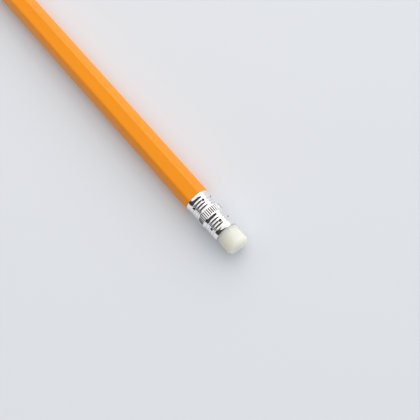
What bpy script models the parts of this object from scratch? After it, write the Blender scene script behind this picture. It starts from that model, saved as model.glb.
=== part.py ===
"""A hexagonal graphite pencil with a crimped aluminium ferrule and a white eraser.

The pencil lies on one of its six flats, with its sharpened point towards -X and its eraser
towards +X. The origin is under the middle of it, on the surface that its ferrule rests on.

Every piece is modelled around a local +Z axis that runs from the point (0) to the eraser's
end (LENGTH), and hangs on one empty that lays this axis along world +X. Units are metres.
"""

from math import cos, pi, radians, sin, tan

import bmesh
import bpy

MM = 0.001

# Driving dimensions
LENGTH = 190.0 * MM  # a new pencil with its eraser
ACROSS_FLATS = 6.95 * MM  # over the lacquer
CORNER_RADIUS = 1.0 * MM  # rounding of the six long edges
LACQUER = 0.15 * MM  # total thickness of the paint layers
GAP = 0.02 * MM  # between pieces that are glued or pressed together

POINT_SLOPE = tan(radians(10.5))  # half angle of the sharpened cone
TIP_RADIUS = 0.20 * MM
CORE_RADIUS = 1.05 * MM
GLUE = 0.04 * MM  # film between the two slats and around the core
CONE_START, CONE_END = 2.0 * MM, 26.0 * MM  # the stretch that the sharpener's cutter covers
BLANK_START = 3.0 * MM  # where the bars start before they are sharpened

FERRULE_LENGTH = 12.5 * MM
FERRULE_RADIUS = 3.74 * MM
FERRULE_WALL = 0.22 * MM
# How far the wall lies below FERRULE_RADIUS
LIP_DROP = 0.04 * MM  # at the barrel end's rolled lip
NECK_DROP = 0.22 * MM
LAND_DROP = 0.10 * MM  # on the grooved bands
WIDE_GROOVE_DROP = 0.24 * MM
MOUTH_DROP = 0.28 * MM  # at the mouth, drawn in round the eraser
FLUTES = 38
FLUTE_DEPTH = 0.09 * MM
FLUTE_RUNOUT = 0.12 * MM
GROOVE_DEPTH = 0.18 * MM  # below its band
GROOVE_HALF_WIDTH = 0.30 * MM
PUNCHES = 6  # dimples in each of the two clinching rings
PUNCH_DEPTH = 0.30 * MM  # below its band

TENON_RADIUS = 3.10 * MM  # turned end of the wood, inside the ferrule
TENON_LENGTH = 6.1 * MM
ERASER_RADIUS = 3.27 * MM
ERASER_SHOWN = 5.75 * MM
ERASER_ROUNDING = 1.2 * MM
ERASER_CROWN = 0.12 * MM  # rise of its end face

# Places along the ferrule, from its barrel end
LIP, NECK, NECK_END = 0.25 * MM, 1.4 * MM, 1.75 * MM
GROOVES = (2.3 * MM, 3.25 * MM, 4.2 * MM, 8.9 * MM, 9.85 * MM, 10.8 * MM)
FLUTED_BAND = (5.0 * MM, 7.0 * MM)
WIDE_GROOVE = (7.2 * MM, 8.05 * MM, 8.45 * MM)  # its start, bottom and end
MOUTH_START = 11.3 * MM
PUNCHED_GROOVES = (GROOVES[0], GROOVES[4])

# Places along the pencil, from its point
FERRULE_END = LENGTH - ERASER_SHOWN
FERRULE_START = FERRULE_END - FERRULE_LENGTH
SHOULDER = FERRULE_START - GAP  # where the lacquered barrel stops
TENON_END = SHOULDER + TENON_LENGTH
ERASER_START = TENON_END + 2 * GAP
GLUE_BLANK_END = TENON_END + 1.0 * MM  # trimmed back to the tenon's end

AXIS_HEIGHT = FERRULE_RADIUS
COAT_INSIDE = ACROSS_FLATS - 2 * LACQUER
WOOD_ACROSS_FLATS = COAT_INSIDE - 2 * GAP
WOOD_CORNER_RADIUS = CORNER_RADIUS - LACQUER
GROOVE_RADIUS = CORE_RADIUS + GLUE + 2 * GAP  # of the half-round groove in each slat
SEAM = GLUE / 2 + GAP  # half the space between the slats

OUTSIDE = 6.0 * MM  # clear of every piece, for cutters
BEYOND = 1.0 * MM  # how far a cutter runs past an end
ROUND_STEPS = 64
CONE_STEPS = 96
CORNER_STEPS = 4


def clear_scene():
    for old in list(bpy.data.objects):
        bpy.data.objects.remove(old, do_unlink=True)


def new_collection(name, helper=False):
    made = bpy.data.collections.new(name)
    bpy.context.scene.collection.children.link(made)
    made.hide_render = helper
    return made


def material(name, colour, roughness, metallic=0.0):
    made = bpy.data.materials.new(name)
    made.use_nodes = True
    shader = made.node_tree.nodes["Principled BSDF"]
    shader.inputs["Base Color"].default_value = (*colour, 1.0)
    shader.inputs["Roughness"].default_value = roughness
    shader.inputs["Metallic"].default_value = metallic
    return made


def mesh_object(name, bm):
    bmesh.ops.recalc_face_normals(bm, faces=bm.faces)
    mesh = bpy.data.meshes.new(name)
    bm.to_mesh(mesh)
    bm.free()
    return bpy.data.objects.new(name, mesh)


def turned(name, profile, ring=False, steps=ROUND_STEPS):
    """A solid of revolution about local Z, by a Screw modifier.

    profile is (radius, height) pairs, down the outer side first. It starts and ends on the
    axis, or it closes on itself to make a ring.
    """
    mesh = bpy.data.meshes.new(name)
    edges = [(i, i + 1) for i in range(len(profile) - 1)]
    if ring:
        edges.append((len(profile) - 1, 0))
    mesh.from_pydata([(radius, 0.0, height) for radius, height in profile], edges, [])
    obj = bpy.data.objects.new(name, mesh)
    screw = obj.modifiers.new("turn", "SCREW")
    screw.axis = "Z"
    screw.angle = 2 * pi
    screw.steps = steps
    screw.render_steps = steps
    screw.use_merge_vertices = True
    screw.merge_threshold = 1e-6
    screw.use_smooth_shade = True
    return obj


def rod(name, radius, start, end):
    return turned(name, [(0.0, end), (radius, end), (radius, start), (0.0, start)])


def hexagonal_bar(name, across_flats, corner_radius, start, end):
    """A bar with rounded long edges. Two of its corners are on local Y, and two flats face X."""
    bm = bmesh.new()
    sharp_corner = across_flats / 2 / cos(pi / 6)
    bmesh.ops.create_cone(
        bm, cap_ends=True, segments=6, radius1=sharp_corner, radius2=sharp_corner, depth=end - start
    )
    bmesh.ops.translate(bm, verts=bm.verts, vec=(0.0, 0.0, (start + end) / 2))
    along = [edge for edge in bm.edges if abs(edge.verts[0].co.z - edge.verts[1].co.z) > GAP]
    bmesh.ops.bevel(
        bm,
        geom=along,
        offset=corner_radius * tan(pi / 6),
        offset_type="OFFSET",
        segments=CORNER_STEPS,
        profile=0.5,
        affect="EDGES",
    )
    return mesh_object(name, bm)


def block(name, low, high):
    bm = bmesh.new()
    bmesh.ops.create_cube(bm, size=1.0)
    bmesh.ops.scale(bm, verts=bm.verts, vec=[high[i] - low[i] for i in range(3)])
    bmesh.ops.translate(bm, verts=bm.verts, vec=[(low[i] + high[i]) / 2 for i in range(3)])
    return mesh_object(name, bm)


def boolean(obj, operation, other):
    modifier = obj.modifiers.new(other.name, "BOOLEAN")
    modifier.operation = operation
    modifier.object = other
    modifier.solver = "EXACT"


def cone_radius(height):
    """Radius of the sharpened cone at a distance from the tip."""
    return TIP_RADIUS + height * POINT_SLOPE


def sharpener():
    """What a sharpener takes away: the space around the cone, as a thick ring."""
    profile = [(OUTSIDE, CONE_END), (OUTSIDE, CONE_START)]
    profile += [(cone_radius(height), height) for height in (CONE_START, CONE_END)]
    return turned("sharpener", profile, ring=True, steps=CONE_STEPS)


def tenon_lathe():
    """The space around the turned tenon, as a thick ring that starts at the barrel's shoulder."""
    end = LENGTH
    profile = [(OUTSIDE, end), (OUTSIDE, SHOULDER), (TENON_RADIUS, SHOULDER), (TENON_RADIUS, end)]
    return turned("tenon_lathe", profile, ring=True)


def half_space(name, side):
    """The space beyond a slat's seam face. side is the sign of local X on the slat's own side."""
    low, high = sorted((side * SEAM, -side * OUTSIDE))
    return block(name, (low, -OUTSIDE, -BEYOND), (high, OUTSIDE, LENGTH))


def slat(name, cutters):
    """One half of the wooden casing, with its half-round groove for the core."""
    obj = hexagonal_bar(name, WOOD_ACROSS_FLATS, WOOD_CORNER_RADIUS, BLANK_START, TENON_END)
    for cutter in cutters:
        boolean(obj, "DIFFERENCE", cutter)
    return obj


def graphite_core():
    cone_end = (CORE_RADIUS - TIP_RADIUS) / POINT_SLOPE
    profile = [(0.0, TENON_END), (CORE_RADIUS, TENON_END), (CORE_RADIUS, cone_end)]
    profile += [(TIP_RADIUS, 0.0), (0.0, 0.0)]
    return turned("graphite_core", profile)


def glue_film(around_core, cutters):
    """The set glue: two thin strips between the slats, joined to a thin tube around the core."""
    corner = (WOOD_ACROSS_FLATS / 2 - WOOD_CORNER_RADIUS) / cos(pi / 6) + WOOD_CORNER_RADIUS
    obj = block("glue_film", (-GLUE / 2, -corner, BLANK_START), (GLUE / 2, corner, GLUE_BLANK_END))
    boolean(obj, "UNION", around_core)
    for cutter in cutters:
        boolean(obj, "DIFFERENCE", cutter)
    return obj


def lacquer_coat(inside, sharpened_away):
    obj = hexagonal_bar("lacquer_coat", ACROSS_FLATS, CORNER_RADIUS, BLANK_START, SHOULDER)
    boolean(obj, "DIFFERENCE", inside)
    boolean(obj, "DIFFERENCE", sharpened_away)
    return obj


def groove(centre):
    """A rolled groove as (drop, place) pairs, towards the barrel."""
    return [
        (LAND_DROP, centre + GROOVE_HALF_WIDTH),
        (LAND_DROP + GROOVE_DEPTH, centre),
        (LAND_DROP, centre - GROOVE_HALF_WIDTH),
    ]


def ferrule_wall():
    """(drop, place) pairs of the ferrule's wall, from its mouth to its barrel end."""
    barrel_side, eraser_side = GROOVES[:3], GROOVES[3:]
    wall = [(MOUTH_DROP, FERRULE_LENGTH), (LAND_DROP, MOUTH_START)]
    for centre in reversed(eraser_side):
        wall += groove(centre)
    wall += [
        (LAND_DROP, WIDE_GROOVE[2]),
        (WIDE_GROOVE_DROP, WIDE_GROOVE[1]),
        (0.0, WIDE_GROOVE[0]),
        (0.0, FLUTED_BAND[1]),
        (0.0, FLUTED_BAND[1] - FLUTE_RUNOUT),
        (0.0, FLUTED_BAND[0] + FLUTE_RUNOUT),
        (0.0, FLUTED_BAND[0]),
    ]
    for centre in reversed(barrel_side):
        wall += groove(centre)
    wall += [(LAND_DROP, NECK_END), (NECK_DROP, NECK), (0.0, LIP), (LIP_DROP, 0.0)]
    return wall


def applied(obj):
    """obj with its modifiers made part of its mesh."""
    scene_objects = bpy.context.scene.collection.objects
    scene_objects.link(obj)
    graph = bpy.context.evaluated_depsgraph_get()
    mesh = bpy.data.meshes.new_from_object(obj.evaluated_get(graph))
    scene_objects.unlink(obj)
    obj.modifiers.clear()
    obj.data = mesh
    return obj


def ferrule():
    """A thin tube with rolled grooves, a fluted band and two rings of punched dimples."""
    steps = 2 * FLUTES
    outer = [(FERRULE_RADIUS - drop, FERRULE_START + place) for drop, place in ferrule_wall()]
    inner = [(radius - FERRULE_WALL, height) for radius, height in reversed(outer)]
    obj = applied(turned("ferrule", outer + inner, ring=True, steps=steps))
    tolerance = 0.01 * MM
    flute_ends = (FLUTED_BAND[0] + FLUTE_RUNOUT, FLUTED_BAND[1] - FLUTE_RUNOUT)
    fluted = [FERRULE_START + place for place in flute_ends]
    punched = [FERRULE_START + place for place in PUNCHED_GROOVES]
    punched_steps = [round(k * steps / PUNCHES) for k in range(PUNCHES)]
    for vertex in obj.data.vertices:
        radial = vertex.co.to_2d()
        step = round(radial.angle_signed((1.0, 0.0)) / (2 * pi) * steps) % steps
        depth = 0.0
        if step % 2 and any(abs(vertex.co.z - height) < tolerance for height in fluted):
            depth = FLUTE_DEPTH
        if step in punched_steps and any(abs(vertex.co.z - height) < tolerance for height in punched):
            depth = PUNCH_DEPTH - GROOVE_DEPTH
        vertex.co.xy = radial * (1 - depth / radial.length)
    obj.data.shade_smooth()
    return obj


def eraser():
    """The eraser plug: squeezed a little thinner inside the ferrule, rounded at its free end."""
    flat_radius = ERASER_RADIUS - ERASER_ROUNDING
    rise = ERASER_ROUNDING - ERASER_CROWN
    arc_steps = 6
    profile = [(0.0, LENGTH)]
    for k in range(arc_steps + 1):
        angle = pi / 2 * (1 - k / arc_steps)
        radius = flat_radius + ERASER_ROUNDING * cos(angle)
        profile.append((radius, LENGTH - ERASER_CROWN - rise * (1 - sin(angle))))
    profile += [
        (ERASER_RADIUS, FERRULE_END + 0.4 * MM),
        (TENON_RADIUS, FERRULE_END - 0.6 * MM),
        (TENON_RADIUS, ERASER_START),
        (0.0, ERASER_START),
    ]
    return turned("eraser", profile)


def build():
    clear_scene()
    pieces = new_collection("graphite_pencil")
    cutters = new_collection("cutters", helper=True)
    axis = bpy.data.objects.new("pencil_axis", None)
    axis.location = (-LENGTH / 2, 0.0, AXIS_HEIGHT)
    axis.rotation_euler = (0.0, pi / 2, 0.0)
    pieces.objects.link(axis)

    cone = sharpener()
    lathe = tenon_lathe()
    core_space = rod("core_space", CORE_RADIUS + GAP, -BEYOND, LENGTH)
    groove_space = rod("groove_space", GROOVE_RADIUS, -BEYOND, LENGTH)
    around_core = rod("around_core", CORE_RADIUS + GAP + GLUE, BLANK_START, GLUE_BLANK_END)
    past_tenon = block("past_tenon", (-OUTSIDE, -OUTSIDE, TENON_END), (OUTSIDE, OUTSIDE, LENGTH))
    below_seam = half_space("below_seam", -1)
    above_seam = half_space("above_seam", 1)
    coat_inside = hexagonal_bar("coat_inside", COAT_INSIDE, WOOD_CORNER_RADIUS, -BEYOND, LENGTH)
    helpers = [cone, lathe, core_space, groove_space, around_core, past_tenon]
    helpers += [below_seam, above_seam, coat_inside]

    cedar = material("cedar", (0.62, 0.40, 0.22), 0.62)
    glue = material("glue", (0.55, 0.42, 0.25), 0.5)
    finished = [
        (slat("slat_upper", (groove_space, below_seam, lathe, cone)), cedar),
        (slat("slat_lower", (groove_space, above_seam, lathe, cone)), cedar),
        (graphite_core(), material("graphite", (0.045, 0.045, 0.05), 0.38, 0.25)),
        (glue_film(around_core, (cone, lathe, past_tenon, core_space)), glue),
        (lacquer_coat(coat_inside, cone), material("orange_lacquer", (0.88, 0.30, 0.015), 0.22)),
        (ferrule(), material("bright_aluminium", (0.90, 0.90, 0.90), 0.14, 1.0)),
        (eraser(), material("white_eraser", (0.80, 0.81, 0.74), 0.6)),
    ]
    for helper in helpers:
        cutters.objects.link(helper)
        helper.parent = axis
        helper.hide_render = True
        helper.display_type = "WIRE"
    for obj, finish in finished:
        pieces.objects.link(obj)
        obj.parent = axis
        obj.data.materials.clear()
        obj.data.materials.append(finish)


build()
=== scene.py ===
"""Looks of the graphite pencil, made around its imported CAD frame.

Lengths are in metres. +Z is up, the point is towards -X and the eraser towards +X.
"""

from math import cos, pi, radians, sin, tan

import bpy
import numpy as np
from mathutils import Matrix, Vector


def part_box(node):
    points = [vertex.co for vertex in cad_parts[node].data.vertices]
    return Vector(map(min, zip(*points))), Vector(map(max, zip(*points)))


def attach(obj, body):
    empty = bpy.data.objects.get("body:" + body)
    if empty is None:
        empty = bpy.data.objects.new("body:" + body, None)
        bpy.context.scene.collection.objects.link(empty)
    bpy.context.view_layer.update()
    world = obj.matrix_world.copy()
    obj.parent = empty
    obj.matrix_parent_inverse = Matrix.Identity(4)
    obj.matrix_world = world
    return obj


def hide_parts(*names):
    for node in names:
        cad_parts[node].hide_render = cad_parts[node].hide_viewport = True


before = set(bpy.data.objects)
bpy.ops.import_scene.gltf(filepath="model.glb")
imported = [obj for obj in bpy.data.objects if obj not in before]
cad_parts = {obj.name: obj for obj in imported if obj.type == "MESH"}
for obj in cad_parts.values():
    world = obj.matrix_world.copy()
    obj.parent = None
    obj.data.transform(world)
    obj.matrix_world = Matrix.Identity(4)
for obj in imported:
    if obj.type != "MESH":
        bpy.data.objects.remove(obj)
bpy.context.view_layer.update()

MM = 0.001
TURN = 2 * pi
HALF_SIXTH = radians(30)  # half the angle between two corners of a hexagon

# Places and sizes read or worked out from the frame
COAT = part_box("lacquer_coat")
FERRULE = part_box("ferrule")
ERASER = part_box("eraser")
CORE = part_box("graphite_core")
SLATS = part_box("slat_upper")
TIP_X = CORE[0].x
AXIS_Z = (CORE[0].z + CORE[1].z) / 2
CORE_RADIUS = (CORE[1].z - CORE[0].z) / 2
COAT_END = COAT[1].x
FERRULE_START = FERRULE[0].x
FERRULE_LENGTH = FERRULE[1].x - FERRULE[0].x
FERRULE_RADIUS = (FERRULE[1].z - FERRULE[0].z) / 2
ERASER_RADIUS = (ERASER[1].y - ERASER[0].y) / 2
ERASER_END = ERASER[1].x
TENON_END = SLATS[1].x
ACROSS_FLATS = COAT[1].z - COAT[0].z
CORNER_SHRINK = 1 / cos(HALF_SIXTH) - 1  # how far rounding pulls a corner in, per radius
CORNER_RADIUS = (ACROSS_FLATS / 2 / cos(HALF_SIXTH) - COAT[1].y) / CORNER_SHRINK

# Sizes that the boxes don't give, as in the CAD
LACQUER = 0.15 * MM
GAP = 0.02 * MM  # between pieces that are glued or pressed together
POINT_SLOPE = tan(radians(10.5))
TIP_RADIUS = 0.20 * MM
GLUE = 0.04 * MM
FERRULE_WALL = 0.22 * MM
TENON_RADIUS = 3.10 * MM
FLUTES = 38
PUNCHES = 6  # dimples in a ring

# Places along the ferrule, from its barrel end
LIP, NECK, NECK_END = 0.20 * MM, 1.40 * MM, 1.75 * MM  # the flared barrel end
GROOVES = [place * MM for place in (2.3, 3.25, 4.2, 8.9, 9.85, 10.8)]
FLUTED_RISE = (4.4 * MM, 4.95 * MM)  # from the first grooved band up to the fluted one
FLUTED_BAND = (5.0 * MM, 7.0 * MM)
WIDE_GROOVE = (7.2 * MM, 8.05 * MM, 8.5 * MM)  # its start, bottom and end
MOUTH = 10.85 * MM  # where the wall starts to draw in round the eraser
PUNCH_RINGS = ((2.25 * MM, radians(10)), (9.85 * MM, radians(14)))  # place and first angle

# How far the ferrule's wall drops below its radius, and the powers that its curves follow
NECK_DROP, NECK_CURVE = 0.24 * MM, 1.8
LAND_DROP = 0.12 * MM  # on the grooved bands
WIDE_GROOVE_DROP = 0.24 * MM
MOUTH_DROP, MOUTH_CURVE = 0.20 * MM, 1.5
GROOVE_DEPTH, GROOVE_HALF_WIDTH = 0.22 * MM, 0.46 * MM
FLUTE_DEPTH, FLUTE_CURVE = 0.20 * MM, 1.3
FLUTE_RUNOUT = 0.12 * MM  # over which a flute fades in and out
PUNCH_DEPTH = 0.28 * MM
PUNCH_WALL = (0.15 * MM, 0.52 * MM)  # a dimple's radius at its bottom and at its rim
DENT_DEPTH = 0.010 * MM
LEAST_RADIUS = TENON_RADIUS + 0.08 * MM  # that the outside of the wall drops to

# How dark the painted shade in the ferrule's creases is, from 0 to 1, and where. It stands in for the dark
# reflections in its grooves, flutes and dimples
GROOVE_PAINTED_SHADE, FLUTE_PAINTED_SHADE = 0.5, 0.95
GROOVE_PAINTED_SHADE_WIDTH = 0.6 * GROOVE_HALF_WIDTH
WIDE_GROOVE_PAINTED_SHADE_WIDTH = 0.25 * MM
FLUTE_SHADED_VALLEY = (0.05, 0.52)  # where the painted shade fades in, from a flute's ridge, in halves of its width
PUNCH_PAINTED_SHADE = (0.36 * MM, 0.58 * MM)  # radii between which a dimple's painted dark middle fades out

# Fine marks on the other pieces
CHIP_LENGTH = 0.06 * MM  # of the chips at the paint's cut edge, along the pencil
PAINT_RIM = 0.06 * MM  # rounding of the paint's edge at the shoulder
PAINT_WAVE = 0.004 * MM
KNIFE_MARK = 0.006 * MM  # on the wood's cone
CHATTER_SHARE = 0.5  # of the blade's regular marks in the knife marks
CHATTER_TURNS, CHATTER_LENGTH = 26, 1.1 * MM  # how many there are round the cone, and their slant
TURNING_MARK = 0.006 * MM  # on the lead's cone
LUMP = 0.015 * MM  # on the eraser
ERASER_ROUNDING = 1.2 * MM
ERASER_CROWN = 0.12 * MM  # rise of its end face

# Camera
CAMERA_TILT = radians(16.8)  # from straight down, towards the barrel
CAMERA_SLANT = radians(48.16)  # of the pencil's axis in the view, down to the right
CAMERA_DISTANCE = 209.5 * MM
AIM_ALONG, AIM_ACROSS = 4.70 * MM, 0.77 * MM  # from the middle of the ferrule's barrel end
LENS, SENSOR = 65.14, 36.0  # in millimetres, as Blender takes them
CLIP_START = 0.01  # nearer than this the camera sees nothing

# Stage. Colours are linear
FLOOR_HALF = 12.0  # half its side, so wide that its edge lies at the horizon
FLOOR_COLOUR = (0.715, 0.73, 0.755, 1)
WINDOW_PLACE, WINDOW_AIM = (-0.20, 0.35, 0.39), (0.05, 0, 0)
WINDOW_SIZE, WINDOW_UP = (0.60, 0.55), (0.1, 1, 0.2)
WINDOW_POWER, WINDOW_COLOUR = 1.12, (1.0, 0.985, 0.965)
CARD_HEIGHT = 0.30
CARD_CORNERS = ((-7, -62), (76, -62), (76, 56), (10, 56))  # degrees from overhead, along and across
CARD_FADES = ((-62, -50), (44, 56))  # degrees across, at its two long edges
CARD_COLOUR = (0.070, 0.054, 0.045, 1)

# The room's brightness, and the Y or Z of a direction into it between which it changes
SKY_DIM, SKY_OVERHEAD, SKY_HORIZON = 0.04, 0.88, 0.72
SKY_WINDOW_SIDE = 1.95  # times as bright as overhead
SKY_MIRRORED = 0.14  # how much brighter it is in reflections
SKY_COLOUR = (0.97, 0.98, 1.0, 1)
DIM_SIDE_Y = (-0.80, -0.48)
WINDOW_SIDE_Y = (0.35, 0.80)
HORIZON_Z = (0.13, 0.25)


# ---------------------------------------------------------------- mesh tools


def new_object(name, data):
    """An object in the scene."""
    obj = bpy.data.objects.new(name, data)
    bpy.context.scene.collection.objects.link(obj)
    return obj


def closed_mesh(name, rings, wrap=False):
    """A mesh skinned over rings of points, an array of (ring, point, xyz).

    With wrap the last ring joins the first. Otherwise each end ring is closed by a fan
    round its middle.
    """
    count, around = rings.shape[:2]
    points = rings.reshape(-1, 3)
    last = count if wrap else count - 1
    i, j = np.meshgrid(np.arange(last), np.arange(around), indexing="ij")
    i_next, j_next = (i + 1) % count, (j + 1) % around
    corners = [i * around + j, i_next * around + j, i_next * around + j_next, i * around + j_next]
    quads = np.stack([corner.ravel() for corner in corners], -1)
    triangles = np.zeros((0, 3), int)
    if not wrap:
        points = np.vstack([points, rings[[0, -1]].mean(1)])
        start, end = len(points) - 2, len(points) - 1
        j = np.arange(around)
        j_next = (j + 1) % around
        base = (count - 1) * around
        low = np.stack([np.full(around, start), j, j_next], -1)
        high = np.stack([np.full(around, end), base + j_next, base + j], -1)
        triangles = np.vstack([low, high])
    mesh = bpy.data.meshes.new(name)
    mesh.vertices.add(len(points))
    mesh.vertices.foreach_set("co", points.astype(np.float32).ravel())
    loops = np.concatenate([quads.ravel(), triangles.ravel()])
    sizes = np.concatenate([np.full(len(quads), 4), np.full(len(triangles), 3)])
    mesh.loops.add(len(loops))
    mesh.loops.foreach_set("vertex_index", loops)
    mesh.polygons.add(len(sizes))
    mesh.polygons.foreach_set("loop_start", np.concatenate([[0], np.cumsum(sizes)[:-1]]))
    mesh.polygons.foreach_set("loop_total", sizes)
    mesh.update(calc_edges=True)
    if signed_volume(points, quads, triangles) < 0:
        mesh.flip_normals()
    mesh.validate()
    mesh.shade_smooth()
    return new_object(name, mesh)


def signed_volume(points, quads, triangles):
    """Six times the volume inside the faces, negative where they face inwards."""
    halves = np.vstack([quads[:, [0, 1, 2]], quads[:, [0, 2, 3]], triangles])
    a, b, c = (points[halves[:, k]] for k in range(3))
    return float(np.einsum("ij,ij->i", a, np.cross(b, c)).sum())


def mark(obj, name, values):
    """Give each point of a mesh a value that its material reads by name."""
    attribute = obj.data.attributes.new(name, "FLOAT", "POINT")
    attribute.data.foreach_set("value", np.array(values, np.float32).ravel())


def point_at(place, angle, radius):
    """Points from places along the pencil, angles from +Y towards +Z, and radii."""
    place, angle, radius = np.broadcast_arrays(place, angle, radius)
    return np.stack([place, radius * np.cos(angle), AXIS_Z + radius * np.sin(angle)], -1)


def smooth(low, high, value):
    """0 below low, 1 above high, and smooth between."""
    t = np.clip((value - low) / (high - low), 0, 1)
    return t * t * (3 - 2 * t)


def bump(value, centre, half_width):
    """1 at centre, falling smoothly to 0 at half_width from it."""
    t = np.clip(np.abs(value - centre) / half_width, 0, 1)
    return 0.5 + 0.5 * np.cos(pi * t)


def ripple(place, angle, seed, count, longest, shortest, most_turns):
    """Smooth noise over place and angle, seldom outside -1 to 1.

    It is a sum of waves, each of which meets itself after a turn.
    """
    random = np.random.default_rng(seed)
    total = np.zeros(np.broadcast(place, angle).shape)
    for _ in range(count):
        wave = TURN / (shortest * (longest / shortest) ** random.random())
        turns = random.integers(-most_turns, most_turns + 1)
        total += np.cos(wave * place + turns * angle + TURN * random.random())
    return total / count**0.5 / 1.5


def hexagon_corner(across_flats, corner_radius):
    """Distance from the axis to the centre of a corner's rounding, and the angle where it ends."""
    centre = (across_flats / 2 - corner_radius) / cos(HALF_SIXTH)
    rise, run = corner_radius * sin(HALF_SIXTH), corner_radius * cos(HALF_SIXTH)
    return centre, np.arctan2(rise, centre + run)


def hexagon_radius(angle, across_flats, corner_radius):
    """Radius of a hexagon with rounded corners, two of which are on the Y axis."""
    off_corner = np.abs((angle + HALF_SIXTH) % (TURN / 6) - HALF_SIXTH)
    centre, flat_starts = hexagon_corner(across_flats, corner_radius)
    on_flat = across_flats / 2 / np.cos(HALF_SIXTH - off_corner)
    across = centre * np.sin(off_corner)
    inside = np.clip(corner_radius**2 - across**2, 0, None)
    on_corner = centre * np.cos(off_corner) + np.sqrt(inside)
    return np.where(off_corner > flat_starts, on_flat, on_corner)


def hexagon_angles(per_corner=14, per_flat=8):
    """Angles round the barrel, closer together at its rounded corners."""
    edge = hexagon_corner(ACROSS_FLATS, CORNER_RADIUS)[1]
    corner = np.linspace(-edge, edge, per_corner, endpoint=False)
    flat = np.linspace(edge, TURN / 6 - edge, per_flat, endpoint=False)
    one = np.concatenate([corner, flat])
    return np.concatenate([one + k * TURN / 6 for k in range(6)])


def graded(*stretches):
    """Values through several stretches, each (start, end, count), without repeats."""
    parts = [np.linspace(start, end, count, endpoint=False) for start, end, count in stretches]
    return np.concatenate([*parts, [stretches[-1][1]]])


# ---------------------------------------------------------------- shader tools


def add_node(tree, kind, inputs=(), **properties):
    """A new shader node. inputs sets or links its sockets, by name or number."""
    made = tree.nodes.new(kind)
    for name, value in properties.items():
        setattr(made, name, value)
    for name, value in dict(inputs).items():
        if isinstance(value, bpy.types.NodeSocket):
            tree.links.new(value, made.inputs[name])
        else:
            made.inputs[name].default_value = value
    return made


def map_range(tree, value, stretch, results, **properties):
    """value, mapped from the ends of stretch to the two results."""
    names = ("From Min", "From Max", "To Min", "To Max")
    inputs = {"Value": value, **dict(zip(names, (*stretch, *results)))}
    return add_node(tree, "ShaderNodeMapRange", inputs, **properties).outputs[0]


def arithmetic(tree, operation, *values):
    """A sum or product of values, each a number or a socket."""
    inputs = dict(enumerate(values))
    return add_node(tree, "ShaderNodeMath", inputs, operation=operation).outputs[0]


class Shader:
    """A Principled material with its node tree, and short ways to add to it."""

    def __init__(self, name, **settings):
        self.material = bpy.data.materials.new(name)
        self.material.use_nodes = True
        self.tree = self.material.node_tree
        self.surface = self.tree.nodes["Principled BSDF"]
        for socket, value in settings.items():
            self.surface.inputs[socket.replace("_", " ")].default_value = value
        self.place = self.node("ShaderNodeTexCoord").outputs["Object"]

    def node(self, kind, inputs=(), **properties):
        return add_node(self.tree, kind, inputs, **properties)

    def scaled(self, x, y, z):
        """The place in the CAD's frame, in millimetres, times a factor for each axis."""
        scale = (x / MM, y / MM, z / MM)
        return self.node("ShaderNodeMapping", {"Vector": self.place, "Scale": scale}).outputs[0]

    def noise(self, scale, detail=2.0, roughness=0.5, distortion=0.0):
        """Noise with scale waves to the millimetre along X, Y and Z."""
        settings = {"Vector": self.scaled(*scale), "Scale": 1.0, "Detail": detail}
        settings.update({"Roughness": roughness, "Distortion": distortion})
        return self.node("ShaderNodeTexNoise", settings).outputs["Fac"]

    def specks(self, scale, size):
        """1 in round specks, 0 between them.

        There is room for scale specks to the millimetre. size is a speck's radius as a share
        of that room.
        """
        middle = 0.4  # share of a speck's radius that is wholly 1
        vector = self.scaled(scale, scale, scale)
        cells = self.node("ShaderNodeTexVoronoi", {"Vector": vector, "Scale": 1.0})
        return self.spread(cells.outputs["Distance"], size, size * middle, 0.0, 1.0)

    def spread(self, value, low, high, to_low, to_high):
        return map_range(self.tree, value, (low, high), (to_low, to_high), clamp=True)

    def mixed(self, share, first, second):
        inputs = {0: share, 6: first, 7: second}
        return self.node("ShaderNodeMix", inputs, data_type="RGBA").outputs[2]

    def shaded(self, value, low, high, first, second, most=1.0):
        """The first colour where value is under low, up to most of the second where it is over high."""
        return self.mixed(self.spread(value, low, high, 0.0, most), first, second)

    def attribute(self, name):
        return self.node("ShaderNodeAttribute", attribute_name=name).outputs["Fac"]

    def join(self, output, socket):
        self.tree.links.new(output, self.surface.inputs[socket])

    def relief(self, *layers):
        """Bump from (height, depth in millimetres) layers."""
        normal = None
        for height, depth in layers:
            inputs = {"Height": height, "Strength": 1.0, "Distance": depth * MM}
            if normal:
                inputs["Normal"] = normal
            normal = self.node("ShaderNodeBump", inputs).outputs["Normal"]
        self.join(normal, "Normal")


def lacquer_material():
    """Deep orange gloss over a pale primer, which shows where the sharpener cut through it."""
    deep, light = (0.85, 0.268, 0.001, 1), (0.90, 0.293, 0.002, 1)
    speck, primer = (0.45, 0.11, 0.002, 1), (0.80, 0.62, 0.40, 1)
    gloss = {"Coat_Weight": 0.32, "Coat_Roughness": 0.06, "Coat_IOR": 1.45}
    shader = Shader("orange_lacquer", Roughness=0.35, Specular_IOR_Level=0.10, **gloss)
    orange = shader.shaded(shader.noise((0.02, 0.25, 0.25), detail=3), 0.3, 0.7, deep, light)
    orange = shader.shaded(shader.specks(0.9, 0.10), 0, 1, orange, speck, most=0.35)
    shader.join(shader.shaded(shader.attribute("cut"), 0.45, 0.75, orange, primer), "Base Color")
    flow = shader.noise((0.5, 1.2, 1.2), detail=2)
    orange_peel = shader.noise((2.5, 2.5, 2.5), detail=1)
    shader.relief((flow, 0.004), (orange_peel, 0.0012))
    return shader.material


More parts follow.
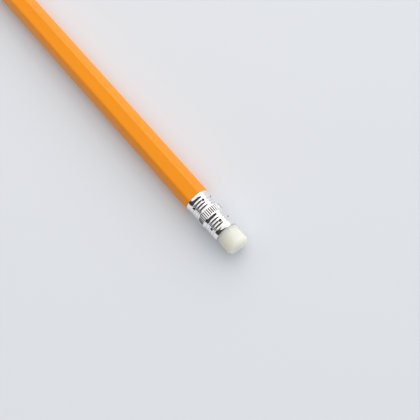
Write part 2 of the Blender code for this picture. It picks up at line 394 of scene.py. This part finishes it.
def aluminium_material():
    """Bright rolled aluminium with fine lines round it, a few scuffs, and creases darkened with near-black
    painted shade.
    """
    bright, stained = (0.97, 0.97, 0.965, 1), (0.92, 0.92, 0.92, 1)
    # Colour of the painted shade in the creases
    painted_shade_colour = (0.10, 0.068, 0.062, 1)
    shader = Shader("bright_aluminium", Metallic=1.0)
    metal = shader.shaded(shader.noise((0.35, 0.35, 0.35), detail=4), 0.35, 0.7, bright, stained)
    # Painted shade: the creases go nearly black, standing in for the dark reflections in grooves, flutes
    # and dimples
    metal = shader.shaded(shader.attribute("painted_shade"), 0.3, 1.0, metal, painted_shade_colour, most=0.96)
    shader.join(metal, "Base Color")
    lines = shader.noise((14.0, 0.4, 0.4), detail=2)
    scuffs = shader.noise((1.1, 1.1, 1.1), detail=5, roughness=0.65)
    shader.join(shader.spread(scuffs, 0.35, 0.75, 0.04, 0.12), "Roughness")
    shader.relief((lines, 0.0006), (scuffs, 0.002))
    return shader.material


def eraser_material():
    """Soft off-white vinyl, slightly translucent, with a faint tooth and a few grey crumbs."""
    dull, clean = (0.67, 0.665, 0.592, 1), (0.71, 0.705, 0.632, 1)
    crumb = (0.4, 0.4, 0.36, 1)
    depth = {"Subsurface_Weight": 1.0, "Subsurface_Scale": 0.0065}
    depth["Subsurface_Radius"] = (1.0, 0.9, 0.7)
    shader = Shader("white_eraser", Roughness=0.6, Specular_IOR_Level=0.3, **depth)
    white = shader.shaded(shader.noise((0.25, 0.25, 0.25), detail=3), 0.3, 0.7, dull, clean)
    white = shader.shaded(shader.specks(1.3, 0.09), 0, 1, white, crumb, most=0.25)
    shader.join(white, "Base Color")
    tooth = shader.noise((1.6, 1.6, 1.6), detail=4, roughness=0.6)
    grain = shader.noise((9, 9, 9), detail=2)
    shader.relief((tooth, 0.012), (grain, 0.003))
    return shader.material


def cedar_material():
    """Pencil cedar: pinkish tan with fine long grain and short dark pores."""
    early, late = (0.64, 0.395, 0.215, 1), (0.53, 0.295, 0.145, 1)
    pale, dark = (0.74, 0.53, 0.33, 1), (0.33, 0.17, 0.08, 1)
    shader = Shader("cedar", Roughness=0.62, Specular_IOR_Level=0.25)
    rings = shader.noise((0.03, 0.9, 1.6), detail=3, distortion=0.4)
    grain = shader.noise((0.25, 9.0, 9.0), detail=4, roughness=0.6)
    pores = shader.noise((0.7, 14.0, 14.0), detail=1)
    wood = shader.shaded(rings, 0.3, 0.7, early, late)
    wood = shader.shaded(grain, 0.35, 0.75, wood, pale, most=0.7)
    wood = shader.shaded(pores, 0.62, 0.74, wood, dark, most=0.6)
    shader.join(wood, "Base Color")
    shader.relief((grain, 0.02), (pores, 0.012))
    return shader.material


def graphite_material():
    """Fired graphite and clay: dark grey with a soft metallic sheen and turning lines."""
    dark, light = (0.055, 0.056, 0.062, 1), (0.10, 0.10, 0.108, 1)
    shader = Shader("graphite", Metallic=0.35)
    turning = shader.noise((9.0, 0.6, 0.6), detail=3, roughness=0.6)
    grain = shader.noise((6, 6, 6), detail=3)
    shader.join(shader.shaded(grain, 0.3, 0.7, dark, light), "Base Color")
    shader.join(shader.spread(turning, 0.3, 0.7, 0.30, 0.48), "Roughness")
    shader.relief((turning, 0.008), (grain, 0.004))
    return shader.material


def glue_material():
    """The set glue's edge: a thin amber-brown line."""
    dark, light = (0.42, 0.27, 0.13, 1), (0.55, 0.38, 0.20, 1)
    shader = Shader("glue", Roughness=0.45)
    tone = shader.noise((0.8, 2.0, 2.0), detail=3)
    shader.join(shader.shaded(tone, 0.3, 0.7, dark, light), "Base Color")
    return shader.material


# ---------------------------------------------------------------- pieces


def cone_radius(place):
    """Radius of the sharpened cone at a place along X."""
    return TIP_RADIUS + (place - TIP_X) * POINT_SLOPE


def cone_place(radius):
    """Place along X where the sharpened cone has a radius."""
    return TIP_X + (radius - TIP_RADIUS) / POINT_SLOPE


def lacquer_coat():
    """The paint on the barrel: outer wall, scalloped cut edge, inner wall and shoulder end."""
    angle = hexagon_angles()
    outer = hexagon_radius(angle, ACROSS_FLATS, CORNER_RADIUS)
    inner = hexagon_radius(angle, ACROSS_FLATS - 2 * LACQUER, CORNER_RADIUS - LACQUER)
    chips = ripple(0, angle, seed=3, count=40, longest=1, shortest=1, most_turns=60)
    front = cone_place(outer) + CHIP_LENGTH * chips
    front_inside = cone_place(inner) + CHIP_LENGTH * chips
    rings, cut = [], []
    # Outer wall, from its rounded edge at the shoulder to the cut edge, with closer rings at both
    for share in graded((0, 0.004, 8), (0.004, 0.97, 190), (0.97, 1, 30)):
        place = COAT_END + (front - COAT_END) * share
        off_rim = np.clip((COAT_END - place) / PAINT_RIM, 0, 1)
        rounding = PAINT_RIM * (1 - np.sqrt(1 - (1 - off_rim) ** 2))
        waves = ripple(place, angle, seed=5, count=24, longest=60 * MM, shortest=8 * MM, most_turns=3)
        rings.append(point_at(place, angle, outer - rounding + PAINT_WAVE * (waves - 1)))
        cut.append(np.zeros_like(angle))
    # Cut edge
    for share in np.linspace(0, 1, 9)[1:]:
        place = front + (front_inside - front) * share
        rings.append(point_at(place, angle, outer + (inner - outer) * share))
        cut.append(np.full_like(angle, share))
    # Inner wall, back to the shoulder. Its front half has the look of the cut edge
    for share in np.linspace(1, 0, 30)[1:]:
        place = COAT_END + (front_inside - COAT_END) * share
        rings.append(point_at(place, angle, inner))
        cut.append(np.full_like(angle, share > 0.5))
    obj = closed_mesh("pencil_lacquer", np.array(rings), wrap=True)
    mark(obj, "cut", cut)
    return obj


def slat(name, side):
    """Half of the wooden casing. side is +1 for the upper half, -1 for the lower."""
    seam = GLUE / 2 + GAP
    bore = CORE_RADIUS + GLUE + 2 * GAP
    thinnest = 0.005 * MM  # wood left round the bore at the cone's small end
    behind = 0.05 * MM  # how far behind the meeting of cone and bore the wood starts
    margin = 0.5 * MM  # how far past the cone's end its close rings go on
    across = ACROSS_FLATS - 2 * LACQUER - 2 * GAP
    start = cone_place(bore) + behind
    cone_end = cone_place(across / 2 / cos(HALF_SIXTH)) + margin
    places = graded((start, cone_end, 170), (cone_end, COAT_END, 40))
    places = np.concatenate([places, [COAT_END, TENON_END]])
    limits = np.full(len(places), np.inf)
    limits[-2:] = TENON_RADIUS  # the tenon, from the second ring at the shoulder
    angle = side * np.linspace(0, pi, 97)
    blank = hexagon_radius(angle, across, CORNER_RADIUS - LACQUER)
    rings = []
    for place, limit in zip(places, limits):
        cone = cone_radius(place) + knife_marks(place, angle)
        outer = np.minimum(np.minimum(blank, cone), limit)
        rim = point_at(place, angle, np.maximum(outer, bore + thinnest))
        groove = point_at(place, angle[::-1], bore)
        section = np.concatenate([rim, groove])
        height = np.maximum((section[:, 2] - AXIS_Z) * side, seam)
        section[:, 2] = AXIS_Z + side * height
        rings.append(section)
    return closed_mesh(name, np.array(rings))


def knife_marks(place, angle):
    """Faint facets and ridges that a sharpener's blade leaves round the cone, in metres."""
    chatter = np.sin(CHATTER_TURNS * angle + place / CHATTER_LENGTH)
    ridges = ripple(place, angle, seed=11, count=30, longest=6 * MM, shortest=0.7 * MM, most_turns=24)
    return KNIFE_MARK * (CHATTER_SHARE * chatter + ridges)


def graphite_core():
    """The lead, with a blunt, slightly rounded tip and fine turning lines on its cone."""
    angle = np.linspace(0, TURN, 96, endpoint=False)
    nose = 0.12 * MM  # length of the rounded tip
    fade = 0.4 * MM  # over which the lines end at the wood
    nearly_shut = 1e-3  # share of the nose's radius that its first ring keeps
    nose_end, cone_end = TIP_X + nose, cone_place(CORE_RADIUS)
    rings = []
    for turned in np.linspace(0, pi / 2, 8):
        place = TIP_X + nose * (1 - cos(turned))
        rings.append(point_at(place, angle, cone_radius(nose_end) * max(sin(turned), nearly_shut)))
    for place in graded((nose_end, cone_end, 130), (cone_end, TENON_END, 40))[1:]:
        lines = ripple(place, angle, seed=21, count=30, longest=1.5 * MM, shortest=0.15 * MM, most_turns=5)
        on_cone = 1 - smooth(cone_end - fade, cone_end, place)
        radius = min(cone_radius(place), CORE_RADIUS) + TURNING_MARK * (lines - 1) * on_cone
        rings.append(point_at(place, angle, radius))
    return closed_mesh("pencil_core", np.array(rings))


def tube_profile(along):
    """Drop and painted shade of the ferrule's wall before it is fluted and punched.

    From its barrel end: a flare and neck, a grooved band a little lower than the fluted one,
    a wide groove, another grooved band, and a mouth that is drawn in.
    """
    start, bottom, end = WIDE_GROOVE
    drop = NECK_DROP * np.clip((along - LIP) / (NECK - LIP), 0, 1) ** NECK_CURVE
    drop = drop - (NECK_DROP - LAND_DROP) * smooth(NECK, NECK_END, along)
    drop = drop * (1 - smooth(*FLUTED_RISE, along))
    drop += WIDE_GROOVE_DROP * smooth(start, bottom, along)
    drop -= (WIDE_GROOVE_DROP - LAND_DROP) * smooth(bottom, end, along)
    drop += MOUTH_DROP * np.clip((along - MOUTH) / (FERRULE_LENGTH - MOUTH), 0, 1) ** MOUTH_CURVE
    painted_shade = GROOVE_PAINTED_SHADE * bump(along, bottom, WIDE_GROOVE_PAINTED_SHADE_WIDTH)
    for centre in GROOVES:
        drop += GROOVE_DEPTH * bump(along, centre, GROOVE_HALF_WIDTH)
        painted_shade = np.maximum(painted_shade, GROOVE_PAINTED_SHADE * bump(along, centre, GROOVE_PAINTED_SHADE_WIDTH))
    return drop, painted_shade


def flutes(along, angle):
    """Drop and painted shade of the flutes: round ridges that meet in narrow valleys, which are painted
    dark.
    """
    low, high = FLUTED_BAND
    fades_in = smooth(low, low + FLUTE_RUNOUT, along)
    fluted = fades_in * (1 - smooth(high - FLUTE_RUNOUT, high, along))
    off_ridge = np.abs((angle * FLUTES / TURN + 0.5) % 1 * 2 - 1)
    drop = FLUTE_DEPTH * fluted * off_ridge**FLUTE_CURVE
    return drop, FLUTE_PAINTED_SHADE * fluted * smooth(*FLUTE_SHADED_VALLEY, off_ridge)


def dimples(along, angle):
    """Drop and painted shade of the two rings of punched dimples."""
    drop, painted_shade = np.zeros(along.shape), np.zeros(along.shape)
    for centre, first in PUNCH_RINGS:
        for k in range(PUNCHES):
            off = (angle - first - k * TURN / PUNCHES + pi) % TURN - pi
            distance = np.hypot(along - centre, off * FERRULE_RADIUS)
            drop += PUNCH_DEPTH * (1 - smooth(*PUNCH_WALL, distance))
            painted_shade = np.maximum(painted_shade, 1 - smooth(*PUNCH_PAINTED_SHADE, distance))
    return drop, painted_shade


def ferrule_surface(along, angle):
    """Outer radius of the ferrule, and how dark the painted shade of its creases is there.

    along is the distance from its barrel end.
    """
    along, angle = np.broadcast_arrays(along, angle)
    shapes = (tube_profile(along), flutes(along, angle), dimples(along, angle))
    drop = sum(shape[0] for shape in shapes)
    painted_shade = np.maximum.reduce([shape[1] for shape in shapes])
    dents = ripple(along, angle, seed=31, count=40, longest=8 * MM, shortest=1.0 * MM, most_turns=9)
    radius = FERRULE_RADIUS - drop - DENT_DEPTH * (1 + dents)
    return np.maximum(radius, LEAST_RADIUS), painted_shade


def ferrule_rings():
    """Distances along the ferrule, closer together at its lips, farther apart on the flutes."""
    low, high = FLUTED_BAND
    lip, runout = 0.06 * MM, 0.15 * MM  # stretches with close rings
    return graded(
        (0, lip, 6),
        (lip, low, 76),
        (low, low + runout, 6),
        (low + runout, high - runout, 8),
        (high - runout, high, 6),
        (high, FERRULE_LENGTH - lip, 82),
        (FERRULE_LENGTH - lip, FERRULE_LENGTH, 6),
    )


def swelling_radius(start, end, value):
    """Radius that swells from the tenon's at start to the eraser's at end."""
    return TENON_RADIUS + (ERASER_RADIUS - TENON_RADIUS) * smooth(start, end, value)


def ferrule():
    """The crimped tube: outer wall, rounded lips and inner wall."""
    points_a_flute, inner_rings = 12, 24
    rounding = 0.05 * MM  # of the two lips
    swelling = 1.2 * MM  # how far from the mouth the tube widens to the eraser
    angle = np.linspace(0, TURN, FLUTES * points_a_flute, endpoint=False)
    along = ferrule_rings()[:, None]
    outer, painted_shade = ferrule_surface(along, angle)
    at_lips = 1 - smooth(0, rounding, along)
    at_lips = at_lips + smooth(FERRULE_LENGTH - rounding, FERRULE_LENGTH, along)
    outer = outer - rounding * at_lips
    back = np.linspace(FERRULE_LENGTH, 0, inner_rings)[:, None]
    inner = ferrule_surface(back, angle)[0] - FERRULE_WALL
    plug = swelling_radius(FERRULE_LENGTH - swelling, FERRULE_LENGTH, back)
    inner = np.maximum(inner, plug + GAP)
    there = point_at(FERRULE_START + along, angle, outer)
    and_back = point_at(FERRULE_START + back, angle, inner)
    obj = closed_mesh("pencil_ferrule", np.concatenate([there, and_back]), wrap=True)
    # Painted shade: dark in the creases, and over the whole inner wall
    mark(obj, "painted_shade", np.vstack([painted_shade, np.ones_like(inner)]))
    return obj


def eraser():
    """The eraser, squeezed thinner in the ferrule, with a rounded and slightly crowned end."""
    angle = np.linspace(0, TURN, 128, endpoint=False)
    mouth = FERRULE_START + FERRULE_LENGTH
    swell = (mouth - 0.6 * MM, mouth + 0.4 * MM)  # where it widens on its way out
    shoulder = ERASER_END - ERASER_ROUNDING
    face = ERASER_RADIUS - ERASER_ROUNDING
    pinhole = 1e-6  # least radius of the last ring
    rings = []

    def lumpy_ring(place, radius):
        lumps = ripple(place, angle, seed=41, count=24, longest=9 * MM, shortest=1.5 * MM, most_turns=6)
        rings.append(point_at(place, angle, radius + LUMP * (lumps - 1)))

    for place in graded((TENON_END + 2 * GAP, swell[0], 8), (*swell, 10)):
        rings.append(point_at(place, angle, swelling_radius(*swell, place)))
    for place in np.linspace(swell[1], shoulder, 30)[1:]:
        lumpy_ring(place, ERASER_RADIUS)
    for turned in np.linspace(0, pi / 2, 24)[1:]:
        place = shoulder + (ERASER_ROUNDING - ERASER_CROWN) * sin(turned)
        lumpy_ring(place, face + ERASER_ROUNDING * cos(turned))
    for share in np.linspace(1, 0, 16)[1:]:
        place = ERASER_END - ERASER_CROWN * share**2
        rings.append(point_at(place, angle, max(face * share, pinhole)))
    return closed_mesh("pencil_eraser", np.array(rings))


# ---------------------------------------------------------------- stage


def look_at(obj, forward, up):
    """Turn a camera or a light so that it faces forward."""
    z = -Vector(forward).normalized()
    x = Vector(up).cross(z).normalized()
    turned = Matrix((x, z.cross(x), z)).transposed().to_4x4()
    obj.matrix_world = Matrix.Translation(obj.location) @ turned


def camera():
    """Over the eraser end, tilted towards the barrel, with the axis running down to the right."""
    aim = Vector((FERRULE_START + AIM_ALONG, AIM_ACROSS, AXIS_Z))
    forward = Vector((-sin(CAMERA_TILT), 0, -cos(CAMERA_TILT)))
    along = Vector((cos(CAMERA_TILT), 0, -sin(CAMERA_TILT)))
    up = cos(CAMERA_SLANT) * Vector((0, 1, 0)) - sin(CAMERA_SLANT) * along
    data = bpy.data.cameras.new("camera")
    data.sensor_width = SENSOR
    data.lens = LENS
    data.clip_start = CLIP_START
    obj = new_object("camera", data)
    obj.location = aim - forward * CAMERA_DISTANCE
    look_at(obj, forward, up)
    bpy.context.scene.camera = obj


def flat_sheet(name, corners, shader):
    """A single face."""
    mesh = bpy.data.meshes.new(name)
    mesh.from_pydata(corners, [], [range(len(corners))])
    mesh.materials.append(shader.material)
    return new_object(name, mesh)


def floor():
    """A plain pale floor."""
    signs = ((-1, -1), (1, -1), (1, 1), (-1, 1))
    corners = [(x * FLOOR_HALF, y * FLOOR_HALF, 0) for x, y in signs]
    shader = Shader("pale_floor", Roughness=0.75, Base_Color=FLOOR_COLOUR, Specular_IOR_Level=0.15)
    obj = flat_sheet("floor", corners, shader)


def flag():
    """A dark card over the eraser end, seen only in reflections, as bright metal is photographed.

    It draws the dark streaks in the ferrule's grooves, and fades out across the pencil.
    """

    def off_overhead(*degrees):
        """Distances over the card to where it lies that many degrees from overhead."""
        return [CARD_HEIGHT * tan(radians(angle)) for angle in degrees]

    corners = []
    for x, y in (off_overhead(*corner) for corner in CARD_CORNERS):
        corners.append((FERRULE_START + x, y, CARD_HEIGHT))
    shader = Shader("black_card", Roughness=1.0, Base_Color=CARD_COLOUR)
    across = shader.node("ShaderNodeSeparateXYZ", {"Vector": shader.place}).outputs["Y"]
    near = shader.spread(across, *off_overhead(*CARD_FADES[0]), 0.0, 1.0)
    far = shader.spread(across, *off_overhead(*CARD_FADES[1]), 1.0, 0.0)
    shader.join(arithmetic(shader.tree, "MULTIPLY", near, far), "Alpha")
    obj = flat_sheet("flag", corners, shader)
    obj.visible_camera = False
    obj.visible_diffuse = False
    obj.visible_shadow = False


def studio():
    """The room round the stage, which lights it softly and is mirrored in the metal.

    It is brighter towards the window, dim low down on the other side, and an even pale grey
    at the horizon and below it. Reflections show it slightly brighter than it lights.
    """
    world = bpy.data.worlds.new("studio")
    world.use_nodes = True
    tree = world.node_tree
    direction = add_node(tree, "ShaderNodeTexCoord").outputs["Generated"]
    axes = add_node(tree, "ShaderNodeSeparateXYZ", {"Vector": direction}).outputs

    def eased(value, stretch, *results):
        return map_range(tree, value, stretch, results, interpolation_type="SMOOTHSTEP")

    dim = eased(axes["Y"], DIM_SIDE_Y, SKY_DIM, SKY_OVERHEAD)
    bright = eased(axes["Y"], WINDOW_SIDE_Y, 1.0, SKY_WINDOW_SIDE)
    above = arithmetic(tree, "MULTIPLY", dim, bright)
    share_above = eased(axes["Z"], HORIZON_Z, 0.0, 1.0)
    level = add_node(tree, "ShaderNodeMix", {0: share_above, 2: SKY_HORIZON, 3: above}).outputs[0]
    mirrored = add_node(tree, "ShaderNodeLightPath").outputs["Is Glossy Ray"]
    factor = arithmetic(tree, "MULTIPLY_ADD", mirrored, SKY_MIRRORED, 1.0)
    background = tree.nodes["Background"].inputs
    background["Color"].default_value = SKY_COLOUR
    tree.links.new(arithmetic(tree, "MULTIPLY", level, factor), background["Strength"])
    bpy.context.scene.world = world


def window():
    """The one lamp: a broad soft light, high up beyond the barrel on the side of +Y."""
    data = bpy.data.lights.new("window", "AREA")
    data.shape = "RECTANGLE"
    data.size, data.size_y = WINDOW_SIZE
    data.energy = WINDOW_POWER
    data.color = WINDOW_COLOUR
    obj = new_object("window", data)
    obj.location = WINDOW_PLACE
    look_at(obj, Vector(WINDOW_AIM) - Vector(WINDOW_PLACE), WINDOW_UP)


def cover(obj, material):
    """Give an object one material in place of any that it has."""
    obj.data.materials.clear()
    obj.data.materials.append(material)


def dress(obj, node, material):
    """Put a piece in the place of a CAD node, with its material."""
    cover(obj, material)
    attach(obj, "root")
    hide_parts(node)


def main():
    camera()
    floor()
    studio()
    window()
    flag()
    cedar = cedar_material()
    dress(lacquer_coat(), "lacquer_coat", lacquer_material())
    dress(slat("pencil_slat_upper", 1), "slat_upper", cedar)
    dress(slat("pencil_slat_lower", -1), "slat_lower", cedar)
    dress(graphite_core(), "graphite_core", graphite_material())
    dress(ferrule(), "ferrule", aluminium_material())
    dress(eraser(), "eraser", eraser_material())
    cover(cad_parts["glue_film"], glue_material())
    bpy.context.scene.view_settings.view_transform = "Standard"


main()
